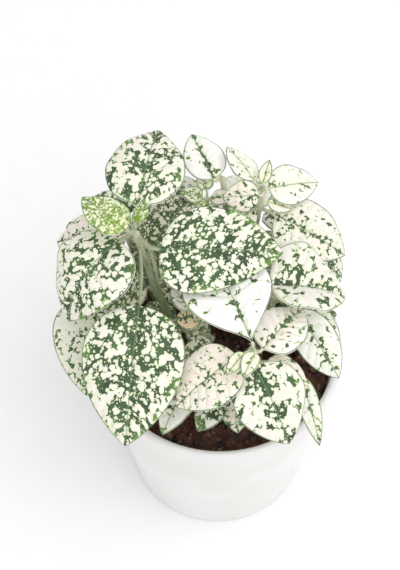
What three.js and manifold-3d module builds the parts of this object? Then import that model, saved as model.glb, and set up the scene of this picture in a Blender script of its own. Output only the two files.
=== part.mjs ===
// A potted polka dot plant: a plain white ceramic pot filled with soil, and ten leafy shoots.
// Millimetres, +Z up. The origin is the middle of the pot's flat base.
// Each shoot is one grown piece: a stem, and along it the stalked leaves.
import * as THREE from "three";
import { mergeVertices } from "three/addons/utils/BufferGeometryUtils.js";
import Module from "manifold-3d";

const wasm = await Module();
wasm.setup();

// Driving dimensions of the pot and the soil
const POT_HEIGHT = 105;
const RIM_RADIUS = 57.5;
const FOOT_RADIUS = 43;
const FOOT_BEVEL = 1.5;
const WALL = 4;
const FLOOR = 6;
const AROUND = 40;
const RIM_STEPS = 4;
const SOIL_LEVEL = 97;
const SOIL_EDGE_DROP = 1.5;
const SOIL_LUMP = 1.2;
const SOIL_RINGS = [0.93, 0.8, 0.66, 0.52, 0.38, 0.24, 0.11, 0];
const CLEAR = 0.3;
const WELD = 1e-4;

// Driving dimensions of the shoots
const ROOT_BOTTOM = 89;
const STEM_RADIUS = 1.8;
const STEM_TIP_RADIUS = 1.2;
const STEM_SIDES = 7;
const STEM_STEPS = 8;
const HOLE_SIDES = 12;
const STALK_RADIUS = 0.9;
const STALK_TIP_RADIUS = 0.6;
const STALK_STEPS = 3;
const STALK_PULL = 0.45;
const STALK_SIDE = 0.9;
const STALK_EDGE = 0.5;
const BLADE = 0.8;
const TIP_POWER = 0.85;
const RIPPLE = 0.05;
const RIPPLE_RATE = 14;
const LARGE_LEAF = 24;
const STATIONS_LARGE = [0.05, 0.18, 0.36, 0.56, 0.76, 0.92, 1];
const STATIONS_SMALL = [0.08, 0.3, 0.6, 0.88, 1];
const ACROSS_LARGE = [-1, -0.5, 0, 0.5, 1];
const ACROSS_SMALL = [-1, 0, 1];

const vec = (point) => new THREE.Vector3(...point);

// A leaf grows from a place along its stem, 0 at the soil and 1 at the top.
// Its blade runs from its base to its tip and is as wide as width at its widest.
// roll turns it about its length in degrees. fold lifts both halves from the middle vein, cup
// turns their edges down again, arch bows the length, base shapes the foot of the blade, and
// skew slides one half towards the tip.
function leaf(node, from, to, width, shape = {}) {
  const usual = { roll: 0, fold: 0.25, arch: 0.1, cup: 0.35, base: 0.5, skew: 0 };
  return { node, from, to, width, ...usual, ...shape };
}

const SHOOTS = [
  {
    name: "shoot_left",
    color: "#9ab694",
    stem: [[-17, -2, 100], [-22, 0, 125], [-30, 6, 155], [-37, 12, 184]],
    leaves: [
      leaf(1.0, [-36, 25, 185], [-28, 70, 178], 35),
      leaf(0.9, [-35, -15, 166], [-41, -66, 134], 44.5),
      leaf(0.96, [-26, 4, 181], [27, 8, 172], 39, { roll: 20, arch: 0.08, base: 0.42, skew: 0.18 }),
      leaf(0.98, [-44, 10.5, 178], [-66.5, -15, 153], 39, { roll: 8, fold: 0.2, arch: 0.22, base: 0.42 }),
      leaf(1.0, [-41, 10, 187], [-60, 27, 187], 19, { roll: 8, fold: 0.3, arch: 0.06 }),
      leaf(1.0, [-37, 14, 187], [-33, 21, 195], 8, { roll: 60, fold: 0.6, arch: 0.06 }),
      leaf(0.7, [-30, 20, 160], [-11, 50, 156], 28),
      leaf(0.55, [-33, 6, 147], [-54, 0, 140], 17),
      leaf(0.6, [-42, 32, 152], [-75, 37, 136], 36),
      leaf(0.3, [-30, -14, 133], [-34, -38, 124], 20),
      leaf(0.2, [-17, 12, 126], [-24, 33, 122], 20),
      leaf(0.2, [-24, 4, 119], [-33, 18, 115], 15, { arch: 0.08 }),
      leaf(0.45, [-32, 16, 140], [-37, 38, 139], 18, { arch: 0.08 }),
    ],
  },
  {
    name: "shoot_front",
    color: "#dfe3d2",
    stem: [[12, -14, 100], [14, -20, 120], [14, -29, 145], [13, -36, 165]],
    leaves: [
      leaf(0.97, [13, -33, 166.5], [-4, 11, 167], 40, { fold: 0.15, arch: 0.03, cup: 0.25, base: 1.3 }),
      leaf(0.92, [14, -40, 158], [29, -66, 136], 33),
      leaf(0.96, [7, -37, 160], [-19, -52, 143], 29),
      leaf(0.98, [18, -32, 159], [36, -9, 153], 24, { fold: 0.3 }),
      leaf(1.0, [10, -38, 165], [2, -48, 164], 7, { fold: 0.5 }),
      leaf(1.0, [14, -39, 167], [9, -51, 167], 8, { fold: 0.5 }),
      leaf(0.72, [19, -35, 150], [38, -42, 142], 18, { fold: 0.2, arch: 0.08 }),
      leaf(0.5, [35, -32, 134], [44, -56, 114], 10, { fold: 0.2, arch: 0.08 }),
      leaf(0.3, [6, -27, 130], [-1, -41, 124], 14),
    ],
  },
  {
    name: "shoot_upper_right",
    color: "#e4e8d6",
    stem: [[14, 16, 100], [13, 22, 125], [16, 34, 152], [19, 43, 171]],
    leaves: [
      leaf(1.0, [15, 46, 173], [3, 63, 175], 14, { roll: 20, arch: 0.06 }),
      leaf(0.99, [21.5, 41.5, 173.5], [44, 48.5, 168], 19, { roll: 20, fold: 0.3, arch: 0.08 }),
      leaf(1.0, [17, 37, 174], [1, 38, 171], 15, { roll: -20, fold: 0.3, arch: 0.06 }),
      leaf(1.0, [21, 36.5, 170], [32, 35.5, 165.5], 9, { roll: 10, fold: 0.6, arch: 0.06 }),
      leaf(1.0, [19, 44, 174], [22, 53, 179], 6, { fold: 0.5, arch: 0.06 }),
      leaf(0.86, [16, 37, 163], [0, 31, 158], 14, { roll: -20, fold: 0.3, arch: 0.08 }),
      leaf(0.84, [25, 35, 162], [56, 21, 150], 29, { roll: 10, fold: 0.3, arch: 0.08 }),
      leaf(0.5, [22, 30, 140], [43, 38, 132], 18),
    ],
  },
  {
    name: "shoot_right",
    color: "#aec1a6",
    stem: [[24, 2, 100], [23, 2, 120], [21, -1, 145], [19, -1, 162]],
    leaves: [
      leaf(0.98, [21, -3, 163], [55, -1, 150], 42, { roll: -13, fold: 0.66, arch: 0.08 }),
      leaf(0.72, [28, -1, 146], [52, -7, 133], 18, { roll: 10, fold: 0.3, arch: 0.08 }),
      leaf(0.8, [34, -6, 148], [53, -28, 125], 19, { roll: 20, base: 0.6 }),
      leaf(0.45, [42, 5, 129], [54, -11, 115], 14, { arch: 0.08 }),
      leaf(0.45, [31, 12, 135], [53, 22, 123], 20, { arch: 0.08 }),
      leaf(0.15, [36, 12, 116], [55, 14, 110], 18, { arch: 0.08 }),
      leaf(0.55, [23, 4, 141], [22, 24, 134], 15, { arch: 0.08 }),
    ],
  },
  {
    name: "shoot_back",
    color: "#c9d3bd",
    stem: [[2, 24, 100], [3, 34, 125], [3, 46, 150], [1, 53, 167]],
    leaves: [
      leaf(1.0, [-3, 50, 169], [-13, 74, 170], 19, { arch: 0.08 }),
      leaf(0.62, [-10, 50, 150], [-32, 66, 142], 22, { arch: 0.08 }),
      leaf(0.62, [6, 50, 150], [22, 70, 140], 24, { arch: 0.08 }),
      leaf(0.3, [-2, 54, 128], [-4, 80, 112], 28, { arch: 0.08 }),
      leaf(0.45, [-14, 57, 137], [-24, 77, 126], 18, { arch: 0.08 }),
    ],
  },
  {
    name: "shoot_rosette",
    color: "#bcc7a4",
    stem: [[-8, 10, 100], [-8, 22, 120], [-7, 36, 145], [-6, 44, 160]],
    leaves: [
      leaf(1.0, [-8, 45, 161], [-18, 48, 162], 9, { fold: 0.3, arch: 0.08 }),
      leaf(1.0, [-4, 45, 161], [7, 44, 162], 9, { fold: 0.3, arch: 0.08 }),
      leaf(1.0, [-6, 43, 162], [-8, 33, 162], 8, { fold: 0.3, arch: 0.08 }),
      leaf(1.0, [-6, 48, 163], [-8, 58, 165], 8, { fold: 0.3, arch: 0.08 }),
    ],
  },
  {
    name: "shoot_middle",
    color: "#d3cdb2",
    stem: [[-6, -16, 100], [-7, -16, 110], [-9, -13, 124], [-11, -10, 136]],
    leaves: [
      leaf(1.0, [-9, -6, 141], [-20, -5, 138], 13, { fold: 0.3, arch: 0.08 }),
      leaf(0.95, [-4, -16, 137], [-16, -24, 128], 16, { fold: 0.3, arch: 0.08 }),
      leaf(1.0, [-13, -4, 145], [-22, 8, 144], 10, { fold: 0.3, arch: 0.08 }),
      leaf(0.95, [-17, -8, 134], [-27, -3, 133], 9, { fold: 0.3, arch: 0.08 }),
      leaf(0.5, [0, -32, 116], [-10, -46, 108], 14, { fold: 0.3, arch: 0.08 }),
      leaf(0.4, [6, -30, 112], [8, -46, 106], 14, { fold: 0.3, arch: 0.08 }),
      leaf(0.4, [-14, -26, 119], [-26, -49, 111], 16, { fold: 0.3, arch: 0.08 }),
      leaf(0.4, [-9, -6, 118], [-12, 12, 115], 12, { fold: 0.3, arch: 0.08 }),
    ],
  },
  {
    name: "shoot_low_left",
    color: "#dbe3d3",
    stem: [[-34, -4, 100], [-38, 0, 110], [-43, 5, 122], [-46, 8, 132]],
    leaves: [
      leaf(1.0, [-54, 9, 136], [-60, -32, 116], 38, { arch: 0.12 }),
      leaf(1.0, [-52, 16, 134], [-72, 16, 118], 20, { arch: 0.12 }),
      leaf(0.6, [-42, -4, 124], [-40, -30, 112], 20, { arch: 0.12 }),
      leaf(0.4, [-50, 6, 117], [-67, 2, 109], 18, { arch: 0.12 }),
    ],
  },
  {
    name: "shoot_rear_left",
    color: "#8fab88",
    stem: [[-28, 24, 100], [-34, 32, 112], [-40, 40, 124], [-44, 45, 134]],
    leaves: [
      leaf(1.0, [-53, 43, 135], [-72, 58, 120], 26, { arch: 0.12 }),
      leaf(1.0, [-44, 53, 137], [-50, 78, 122], 28, { arch: 0.12 }),
      leaf(1.0, [-35, 44, 135], [-19, 56, 131], 18, { arch: 0.12 }),
      leaf(0.6, [-46, 34, 124], [-66, 30, 112], 20, { arch: 0.12 }),
      leaf(0.5, [-36, 48, 118], [-34, 70, 110], 20, { arch: 0.12 }),
    ],
  },
  {
    name: "shoot_rear_right",
    color: "#a3b89b",
    stem: [[30, 24, 100], [36, 30, 110], [40, 36, 120], [43, 41, 130]],
    leaves: [
      leaf(1.0, [46, 46, 132], [53, 58, 116], 18, { arch: 0.12 }),
      leaf(1.0, [35, 48, 132], [28, 70, 118], 24, { arch: 0.12 }),
      leaf(1.0, [46, 37, 128], [57, 29, 115], 16, { arch: 0.12 }),
      leaf(0.5, [30, 40, 116], [14, 60, 110], 20, { arch: 0.12 }),
    ],
  },
];

// Merges a geometry's shared corners and drops triangles that have no area.
function weld(geometry) {
  const bare = geometry.clone();
  bare.deleteAttribute("normal");
  bare.deleteAttribute("uv");
  const merged = mergeVertices(bare, WELD);
  const corners = merged.index.array;
  const kept = [];
  for (let i = 0; i < corners.length; i += 3) {
    const [a, b, c] = corners.slice(i, i + 3);
    if (a !== b && b !== c && c !== a) {
      kept.push(a, b, c);
    }
  }
  merged.setIndex(kept);
  return merged;
}

function toSolid(geometry) {
  const welded = weld(geometry);
  return new wasm.Manifold(
    new wasm.Mesh({
      numProp: 3,
      vertProperties: new Float32Array(welded.attributes.position.array),
      triVerts: new Uint32Array(welded.index.array),
    }),
  );
}

function toGeometry(solid) {
  const mesh = solid.getMesh();
  const geometry = new THREE.BufferGeometry();
  geometry.setAttribute("position", new THREE.BufferAttribute(mesh.vertProperties, 3));
  geometry.setIndex(new THREE.BufferAttribute(mesh.triVerts, 1));
  geometry.computeVertexNormals();
  return geometry;
}

function fromFaces(points, faces) {
  const geometry = new THREE.BufferGeometry();
  const numbers = points.flatMap((point) => [point.x, point.y, point.z]);
  geometry.setAttribute("position", new THREE.Float32BufferAttribute(numbers, 3));
  geometry.setIndex(faces.flat());
  return geometry;
}

// The pot is turned from one outline: flat base, leaning wall and a rounded rim.
function makePot() {
  const outline = new THREE.Path();
  outline.moveTo(0, 0);
  outline.lineTo(FOOT_RADIUS - FOOT_BEVEL, 0);
  outline.lineTo(FOOT_RADIUS, FOOT_BEVEL);
  outline.lineTo(RIM_RADIUS, POT_HEIGHT - WALL / 2);
  outline.absarc(RIM_RADIUS - WALL / 2, POT_HEIGHT - WALL / 2, WALL / 2, 0, Math.PI);
  outline.lineTo(innerRadius(SOIL_LEVEL), SOIL_LEVEL);
  outline.lineTo(innerRadius(FLOOR), FLOOR);
  outline.lineTo(0, FLOOR);
  return weld(new THREE.LatheGeometry(outline.getPoints(RIM_STEPS), AROUND).rotateX(Math.PI / 2));
}

// Inside radius of the pot at a height
function innerRadius(height) {
  const lean = (RIM_RADIUS - FOOT_RADIUS) / (POT_HEIGHT - WALL / 2 - FOOT_BEVEL);
  return FOOT_RADIUS + lean * (height - FOOT_BEVEL) - WALL;
}

// Height of the crumbly surface above its mean level: broad mounds with smaller ones between
function lump(x, y) {
  const broad = Math.sin(0.31 * x + 0.17 * y) * Math.cos(0.27 * y);
  const small = Math.sin(0.5 * y - 0.4 * x);
  return SOIL_LUMP * (0.6 * broad + 0.4 * small);
}

// The soil fills the pot. Its top is uneven, and every stem has its own plain hole.
function makeSoil() {
  const bottom = FLOOR + CLEAR;
  const edge = SOIL_LEVEL - SOIL_EDGE_DROP;
  const outline = [
    new THREE.Vector2(0, bottom),
    new THREE.Vector2(innerRadius(bottom) - 2 * CLEAR, bottom),
    new THREE.Vector2(innerRadius(edge) - 2 * CLEAR, edge),
  ];
  for (const share of SOIL_RINGS) {
    outline.push(new THREE.Vector2(innerRadius(edge) * share, SOIL_LEVEL));
  }
  const body = new THREE.LatheGeometry(outline, AROUND).rotateX(Math.PI / 2);
  const place = body.attributes.position;
  for (let i = 0; i < place.count; i += 1) {
    if (place.getZ(i) > edge) {
      place.setZ(i, place.getZ(i) + lump(place.getX(i), place.getY(i)));
    }
  }
  return SHOOTS.reduce((soil, shoot) => soil.subtract(makeHole(shoot)), toSolid(body));
}

function makeHole(shoot) {
  const [x, y] = shoot.stem[0];
  const bottom = ROOT_BOTTOM - CLEAR;
  const depth = SOIL_LEVEL + 3 * SOIL_LUMP - bottom;
  const radius = STEM_RADIUS + 2 * CLEAR;
  const hole = new THREE.CylinderGeometry(radius, radius, depth, HOLE_SIDES).rotateX(Math.PI / 2);
  return toSolid(hole.translate(x, y, bottom + depth / 2));
}

// A tapered round stalk through the given points, closed at both ends
function makeStalk(points, startRadius, endRadius, sides) {
  const corners = [];
  const faces = [];
  const last = points.length - 1;
  let side = new THREE.Vector3(1, 0, 0);
  points.forEach((point, row) => {
    const along = points[Math.min(row + 1, last)].clone().sub(points[Math.max(row - 1, 0)]).normalize();
    side = side.clone().addScaledVector(along, -side.dot(along)).normalize();
    const up = along.clone().cross(side);
    const radius = startRadius + ((endRadius - startRadius) * row) / last;
    for (let k = 0; k < sides; k += 1) {
      const angle = (2 * Math.PI * k) / sides;
      const corner = point.clone().addScaledVector(side, radius * Math.cos(angle));
      corners.push(corner.addScaledVector(up, radius * Math.sin(angle)));
    }
  });
  for (let row = 0; row < last; row += 1) {
    for (let k = 0; k < sides; k += 1) {
      const here = row * sides + k;
      const next = row * sides + ((k + 1) % sides);
      faces.push([here, next, next + sides], [here, next + sides, here + sides]);
    }
  }
  for (let k = 1; k < sides - 1; k += 1) {
    const end = last * sides;
    faces.push([0, k + 1, k], [end, end + k, end + k + 1]);
  }
  return toSolid(fromFaces(corners, faces));
}

// The leaf's own directions: along its length, across it, and out of its upper face
function leafFrame(row) {
  const from = vec(row.from);
  const span = vec(row.to).sub(from);
  const length = span.length();
  const along = span.normalize();
  const level = new THREE.Vector3(0, 0, 1).cross(along).normalize();
  const lift = along.clone().cross(level);
  const roll = THREE.MathUtils.degToRad(row.roll);
  const across = level.clone().multiplyScalar(Math.cos(roll)).addScaledVector(lift, Math.sin(roll));
  const out = lift.clone().multiplyScalar(Math.cos(roll)).addScaledVector(level, -Math.sin(roll));
  return { from, length, along, across, out, phase: row.from[0] + row.from[1] };
}

// Share of the full width at a station: a round foot that narrows to a pointed tip
function widthShare(station, base) {
  const widest = base / (base + TIP_POWER);
  const most = widest ** base * (1 - widest) ** TIP_POWER;
  return (station ** base * (1 - station) ** TIP_POWER) / most;
}

// A point of the blade's middle face, at a station along it and a place across it from -1 to 1
function bladePoint(row, frame, station, place) {
  const half = (row.width / 2) * widthShare(station, row.base);
  const bow = row.arch * frame.length * 4 * station * (1 - station);
  const valley = half * (row.fold * Math.abs(place) - row.cup * place * place);
  const wave = RIPPLE * half * place * place * Math.sin(RIPPLE_RATE * station + frame.phase + 2 * place);
  return frame.from
    .clone()
    .addScaledVector(frame.along, frame.length * station + row.skew * half * place)
    .addScaledVector(frame.across, half * place)
    .addScaledVector(frame.out, bow + valley + wave);
}

// Rows of corners for the stalk, each three over three, from the stem's middle to the blade's foot.
// Followed back from the foot, the section turns no more than the stalk bends.
function stalkRows(row, frame, stem) {
  const start = stem.getPoint(row.node);
  const slope = 4 * row.arch;
  const inward = frame.along.clone().addScaledVector(frame.out, slope).normalize();
  const reach = STALK_PULL * frame.from.distanceTo(start);
  const bend = frame.from.clone().addScaledVector(inward, -reach);
  const line = new THREE.QuadraticBezierCurve3(start, bend, frame.from);
  const rows = [];
  let side = frame.across.clone();
  for (let step = STALK_STEPS; step >= 0; step -= 1) {
    const share = step / STALK_STEPS;
    const along = line.getTangent(share);
    side = side.clone().addScaledVector(along, -side.dot(along)).normalize();
    const up = along.clone().cross(side);
    const radius = STALK_RADIUS + (STALK_TIP_RADIUS - STALK_RADIUS) * share;
    const ring = [1, -1].map((face) =>
      ACROSS_SMALL.map((place) => {
        const height = face * radius * (place === 0 ? 1 : STALK_EDGE);
        const corner = line.getPoint(share).addScaledVector(side, place * radius * STALK_SIDE);
        return corner.addScaledVector(up, height);
      }),
    );
    rows.unshift(ring);
  }
  return rows;
}

// Rows of corners for the blade: the same places on its upper and lower face
function bladeRows(row, frame) {
  const large = frame.length >= LARGE_LEAF;
  const stations = large ? STATIONS_LARGE : STATIONS_SMALL;
  const places = large ? ACROSS_LARGE : ACROSS_SMALL;
  return stations.map((station) =>
    [1, -1].map((face) =>
      (station === 1 ? [0] : places).map((place) =>
        bladePoint(row, frame, station, place).addScaledVector(frame.out, (face * BLADE) / 2),
      ),
    ),
  );
}

// A leaf is one closed loft: its stalk, then its thin blade with both faces split alike.
function makeLeaf(row, stem) {
  const frame = leafFrame(row);
  const corners = [];
  const rows = [...stalkRows(row, frame, stem), ...bladeRows(row, frame)].map((ring) =>
    ring.map((line) => line.map((corner) => corners.push(corner) - 1)),
  );
  const faces = [];
  const flip = ([a, b, c]) => [a, c, b];
  for (let i = 0; i < rows.length - 1; i += 1) {
    const [upper, lower] = rows[i];
    const [nextUpper, nextLower] = rows[i + 1];
    faces.push(...joinRows(upper, nextUpper).map(flip), ...joinRows(lower, nextLower));
    for (const end of [0, -1]) {
      const [a, b, c, d] = [upper.at(end), nextUpper.at(end), nextLower.at(end), lower.at(end)];
      const edge = [[a, b, c], [a, c, d]];
      faces.push(...(end === 0 ? edge.map(flip) : edge));
    }
  }
  const [upper, lower] = rows[0];
  faces.push(...joinRows(lower, upper).map(flip));
  return toSolid(fromFaces(corners, faces));
}

// Triangles between two rows of corners, which may hold different numbers of them
function joinRows(near, far) {
  const faces = [];
  let i = 0;
  let j = 0;
  while (i < near.length - 1 || j < far.length - 1) {
    const nearShare = i < near.length - 1 ? (i + 1) / (near.length - 1) : Infinity;
    const farShare = j < far.length - 1 ? (j + 1) / (far.length - 1) : Infinity;
    if (nearShare <= farShare) {
      faces.push([near[i], near[i + 1], far[j]]);
      i += 1;
    } else {
      faces.push([near[i], far[j + 1], far[j]]);
      j += 1;
    }
  }
  return faces;
}

function makeShoot(shoot) {
  const [x, y, z] = shoot.stem[0];
  const stem = new THREE.CatmullRomCurve3(shoot.stem.map(vec), false, "catmullrom", 0.5);
  const points = [vec([x, y, ROOT_BOTTOM]), vec([x, y, z - 2]), ...stem.getPoints(STEM_STEPS)];
  const body = makeStalk(points, STEM_RADIUS, STEM_TIP_RADIUS, STEM_SIDES);
  return shoot.leaves.reduce((grown, row) => grown.add(makeLeaf(row, stem)), body);
}

function addPiece(group, name, geometry, look) {
  const mesh = new THREE.Mesh(geometry, new THREE.MeshStandardMaterial({ metalness: 0, ...look }));
  mesh.name = name;
  group.add(mesh);
}

const plant = new THREE.Group();
addPiece(plant, "pot", makePot(), { color: "#f3f3f1", roughness: 0.25 });
addPiece(plant, "soil", toGeometry(makeSoil()), { color: "#3a2419", roughness: 0.95 });
for (const shoot of SHOOTS) {
  addPiece(plant, shoot.name, toGeometry(makeShoot(shoot)), { color: shoot.color, roughness: 0.5 });
}

export default plant;
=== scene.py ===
# %% [markdown]
# # A potted polka dot plant
#
# The plant is ten leafy shoots in a plain white glazed pot. A construction model already holds the
# pot, the soil and every shoot at their real place and size. This lesson loads that model as a fixed
# frame and gives each piece its fine surface: thin veined leaves with cream marbling, hairy stems,
# crumbly soil and a glazed pot. Every piece stays where the frame has it.

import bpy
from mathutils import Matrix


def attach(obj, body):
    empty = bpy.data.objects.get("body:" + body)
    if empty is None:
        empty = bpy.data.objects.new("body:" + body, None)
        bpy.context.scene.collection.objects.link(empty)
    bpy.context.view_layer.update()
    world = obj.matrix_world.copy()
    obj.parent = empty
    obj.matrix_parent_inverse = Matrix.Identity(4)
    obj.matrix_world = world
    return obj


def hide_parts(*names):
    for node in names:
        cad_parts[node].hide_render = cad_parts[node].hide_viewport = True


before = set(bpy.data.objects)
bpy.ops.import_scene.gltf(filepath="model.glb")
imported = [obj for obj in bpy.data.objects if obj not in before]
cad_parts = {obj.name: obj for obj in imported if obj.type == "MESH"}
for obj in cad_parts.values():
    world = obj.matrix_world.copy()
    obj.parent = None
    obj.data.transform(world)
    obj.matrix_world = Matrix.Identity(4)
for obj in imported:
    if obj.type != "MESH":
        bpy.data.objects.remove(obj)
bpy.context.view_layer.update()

# %% Blender's own modules
import math
import random
from dataclasses import dataclass
from math import cos, exp, pi, radians, sin

import bmesh
import bpy
from mathutils import Matrix, Vector, noise

# %% [markdown]
# ## The camera
#
# The plant is seen from well above its front, at 58 degrees over the horizon. A long lens keeps the
# leaves' proportions calm. Blender fits the lens to the picture's long side, so the focal length in
# millimetres follows from the focal length in pixels of a picture that is 570 pixels high.

# %% Camera
CAMERA_ELEVATION = radians(58)
CAMERA_DISTANCE = 0.7
FOCAL_PIXELS = 1575
IMAGE_HEIGHT = 570
SENSOR = 36
LOOKED_AT = Vector((-0.009, 0.0055, 0.150))

backwards = Vector((0, -cos(CAMERA_ELEVATION), sin(CAMERA_ELEVATION)))
camera = bpy.data.objects.new("camera", bpy.data.cameras.new("camera"))
bpy.context.scene.collection.objects.link(camera)
camera.location = LOOKED_AT + backwards * CAMERA_DISTANCE
camera.rotation_euler = (pi / 2 - CAMERA_ELEVATION, 0, 0)
camera.data.sensor_width = SENSOR
camera.data.lens = FOCAL_PIXELS * SENSOR / IMAGE_HEIGHT
bpy.context.scene.camera = camera
print("lens, mm:", round(camera.data.lens, 1))

# %% [markdown]
# ## Floor and light
#
# The picture is high key: a white ground and soft light from everywhere, with a little more from
# above, in front and to the right. A white world gives the even light, and one large panel gives the
# direction. The plain Standard view keeps white as white, where a filmic view would turn it grey.

# %% Floor and light
FLOOR_SIZE = 6
WORLD_STRENGTH = 0.8
PANEL_SIZE = 1.7
PANEL_POWER = 13
PANEL_PLACE = Vector((0.45, -0.5, 1.4))

floor_mesh = bpy.data.meshes.new("floor")
shape = bmesh.new()
bmesh.ops.create_grid(shape, x_segments=1, y_segments=1, size=FLOOR_SIZE / 2)
shape.to_mesh(floor_mesh)
shape.free()
floor = bpy.data.objects.new("floor", floor_mesh)
bpy.context.scene.collection.objects.link(floor)

world = bpy.data.worlds.new("studio")
bpy.context.scene.world = world
world.use_nodes = True
world.node_tree.nodes["Background"].inputs["Color"].default_value = (1, 1, 1, 1)
world.node_tree.nodes["Background"].inputs["Strength"].default_value = WORLD_STRENGTH
bpy.context.scene.view_settings.view_transform = "Standard"

panel = bpy.data.objects.new("panel", bpy.data.lights.new("panel", "AREA"))
panel.data.size = PANEL_SIZE
panel.data.energy = PANEL_POWER
panel.location = PANEL_PLACE
panel.rotation_euler = (LOOKED_AT - PANEL_PLACE).to_track_quat("-Z", "Y").to_euler()
bpy.context.scene.collection.objects.link(panel)
print("world strength:", WORLD_STRENGTH, "panel, watts:", PANEL_POWER)

# %% [markdown]
# ## Working in millimetres
#
# Leaves are easier to think of in millimetres, so every piece is shaped in millimetres and scaled to
# metres as it is made into an object. The object itself stays at the origin, unturned and unscaled.

# %% From a shape in millimetres to an object in metres
MM = 0.001


def finish_piece(bm, name, materials, node):
    """An object at the origin, in metres, that stands for a node of the frame."""
    bmesh.ops.scale(bm, vec=(MM, MM, MM), verts=bm.verts)
    mesh = bpy.data.meshes.new(name)
    bm.to_mesh(mesh)
    bm.free()
    piece = bpy.data.objects.new(name, mesh)
    bpy.context.scene.collection.objects.link(piece)
    for material in materials:
        mesh.materials.append(material)
    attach(piece, "root")
    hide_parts(node)
    triangles = sum(len(face.vertices) - 2 for face in mesh.polygons)
    print(name, "triangles:", triangles)
    return piece


# %% [markdown]
# ## Finishes
#
# Every finish is a set of shader nodes. A few small helpers keep them readable: they add a node with
# its inputs, do a sum, ease a value, blend two colours, and turn a colour as a painter writes it into
# the light values that shaders use.

# %% Helpers for shader nodes
def add(tree, kind, inputs=None, **settings):
    """A shader node with its settings, and its inputs either linked or set."""
    made = tree.nodes.new("ShaderNode" + kind)
    for name, value in settings.items():
        setattr(made, name, value)
    for key, value in (inputs or {}).items():
        if isinstance(value, bpy.types.NodeSocket):
            tree.links.new(value, made.inputs[key])
        else:
            made.inputs[key].default_value = value
    return made


def colour(code):
    """A colour written as six hexadecimal digits, as linear light with full cover."""
    parts = [int(code[i : i + 2], 16) / 255 for i in (0, 2, 4)]
    linear = [p / 12.92 if p <= 0.04045 else ((p + 0.055) / 1.055) ** 2.4 for p in parts]
    return (*linear, 1)


def reckon(tree, operation, first, second=0.0, third=0.0):
    """The result of one sum on numbers."""
    return add(tree, "Math", {0: first, 1: second, 2: third}, operation=operation).outputs[0]


def ramp(tree, value, low, high, at_low=0.0, at_high=1.0):
    """A value eased from at_low to at_high while the input goes from low to high."""
    inputs = {0: value, 1: low, 2: high, 3: at_low, 4: at_high}
    return add(tree, "MapRange", inputs, interpolation_type="SMOOTHSTEP").outputs[0]


def blend_colours(tree, share, first, second):
    """The first colour where share is 0, the second where it is 1."""
    return add(tree, "Mix", {0: share, 6: first, 7: second}, data_type="RGBA").outputs[2]


def cloud(tree, place, scale, detail=2.0):
    """A soft noise from 0 to 1."""
    return add(tree, "TexNoise", {"Vector": place, "Scale": scale, "Detail": detail}).outputs[0]


def bump(tree, height, strength, distance):
    """The normal of a surface that a height has roughened. The distance is in metres."""
    return add(tree, "Bump", {"Height": height, "Strength": strength, "Distance": distance}).outputs[0]


def object_place(tree):
    """The place on the piece, in metres."""
    return add(tree, "TexCoord").outputs["Object"]


def new_group(name, inputs, outputs):
    """An empty node group with its sockets, given as name and kind."""
    group = bpy.data.node_groups.new(name, "ShaderNodeTree")
    for side, sockets in (("INPUT", inputs), ("OUTPUT", outputs)):
        for socket, kind in sockets:
            group.interface.new_socket(name=socket, in_out=side, socket_type="NodeSocket" + kind)
    return group, group.nodes.new("NodeGroupInput"), group.nodes.new("NodeGroupOutput")


def new_material(name, inputs=None):
    """A material with its node tree and its Principled shader, whose plain inputs are set."""
    material = bpy.data.materials.new(name)
    material.use_nodes = True
    shader = material.node_tree.nodes["Principled BSDF"]
    for key, value in (inputs or {}).items():
        shader.inputs[key].default_value = value
    return material, material.node_tree, shader


def dress(tree, shader, colouring, normal=None, roughness=None):
    """Links what a finish has worked out to its shader."""
    for name, value in (("Base Color", colouring), ("Normal", normal), ("Roughness", roughness)):
        if value is not None:
            tree.links.new(value, shader.inputs[name])


# %% [markdown]
# ## Marbling
#
# The leaf is green tissue with patches that hold no green. The patches are lobed and ragged, several
# millimetres across, and often run into each other. Fine round dots are sown in the green near them,
# and a few green crumbs stay inside the patches, near their edges. The pattern is one group, because
# the upper face and the underside share it: a broad noise decides where patches lie, a cell pattern
# gives them lobes, and two sizes of cells give the dots. It reads a place on the leaf that runs along
# the veins, so the patches follow them. Cover sets how much of the leaf is cream, from 0 to about 1.

# %% Patches
PATCH_SCALE = 0.23
PATCH_WEIGHT = 0.8
LOBE_SCALE = 0.45
LOBE_WEIGHT = 0.6
LOBE_MIDDLE = 0.45
RAG_SCALE = 0.75
RAG_REACH = 0.7
COVER_REACH = 0.5
PATCH_EDGE = 0.01
DEPTH_REACH = 0.12

# %% [markdown]
# Each kind of dot is given as the scale of its cells, the largest radius and the share of the cells
# that hold one. Dots lie in a belt round the patches, which is wider where the cover is high. The
# green crumbs use the same helper inside the patches.

# %% Dots and crumbs
SMALL_DOTS = (0.92, 0.36, 0.7)
LARGE_DOTS = (0.5, 0.34, 0.5)
GREEN_CRUMBS = (0.66, 0.28, 0.18)
DOT_SPREAD = 0.35
DOT_EDGE = (-0.02, 0.03)
DOT_BELT = (-0.36, -0.04)
SOWN_BY_COVER = (0.5, 0.35)
SOWN_FROM = 0.15
CRUMB_BELT = 0.2


def dots(tree, place, scale, radius, share):
    """Round dots of uneven size on a share of the cells of a cell pattern."""
    cells = add(tree, "TexVoronoi", {"Vector": place, "Scale": scale}, feature="F1")
    draw = add(tree, "SeparateColor", {0: cells.outputs["Color"]}).outputs
    size = reckon(tree, "MULTIPLY_ADD", draw[1], radius * DOT_SPREAD, radius * (1 - DOT_SPREAD))
    inside = reckon(tree, "SUBTRACT", size, cells.outputs["Distance"])
    chosen = reckon(tree, "LESS_THAN", draw[0], share)
    return reckon(tree, "MULTIPLY", ramp(tree, inside, *DOT_EDGE), chosen)


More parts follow.
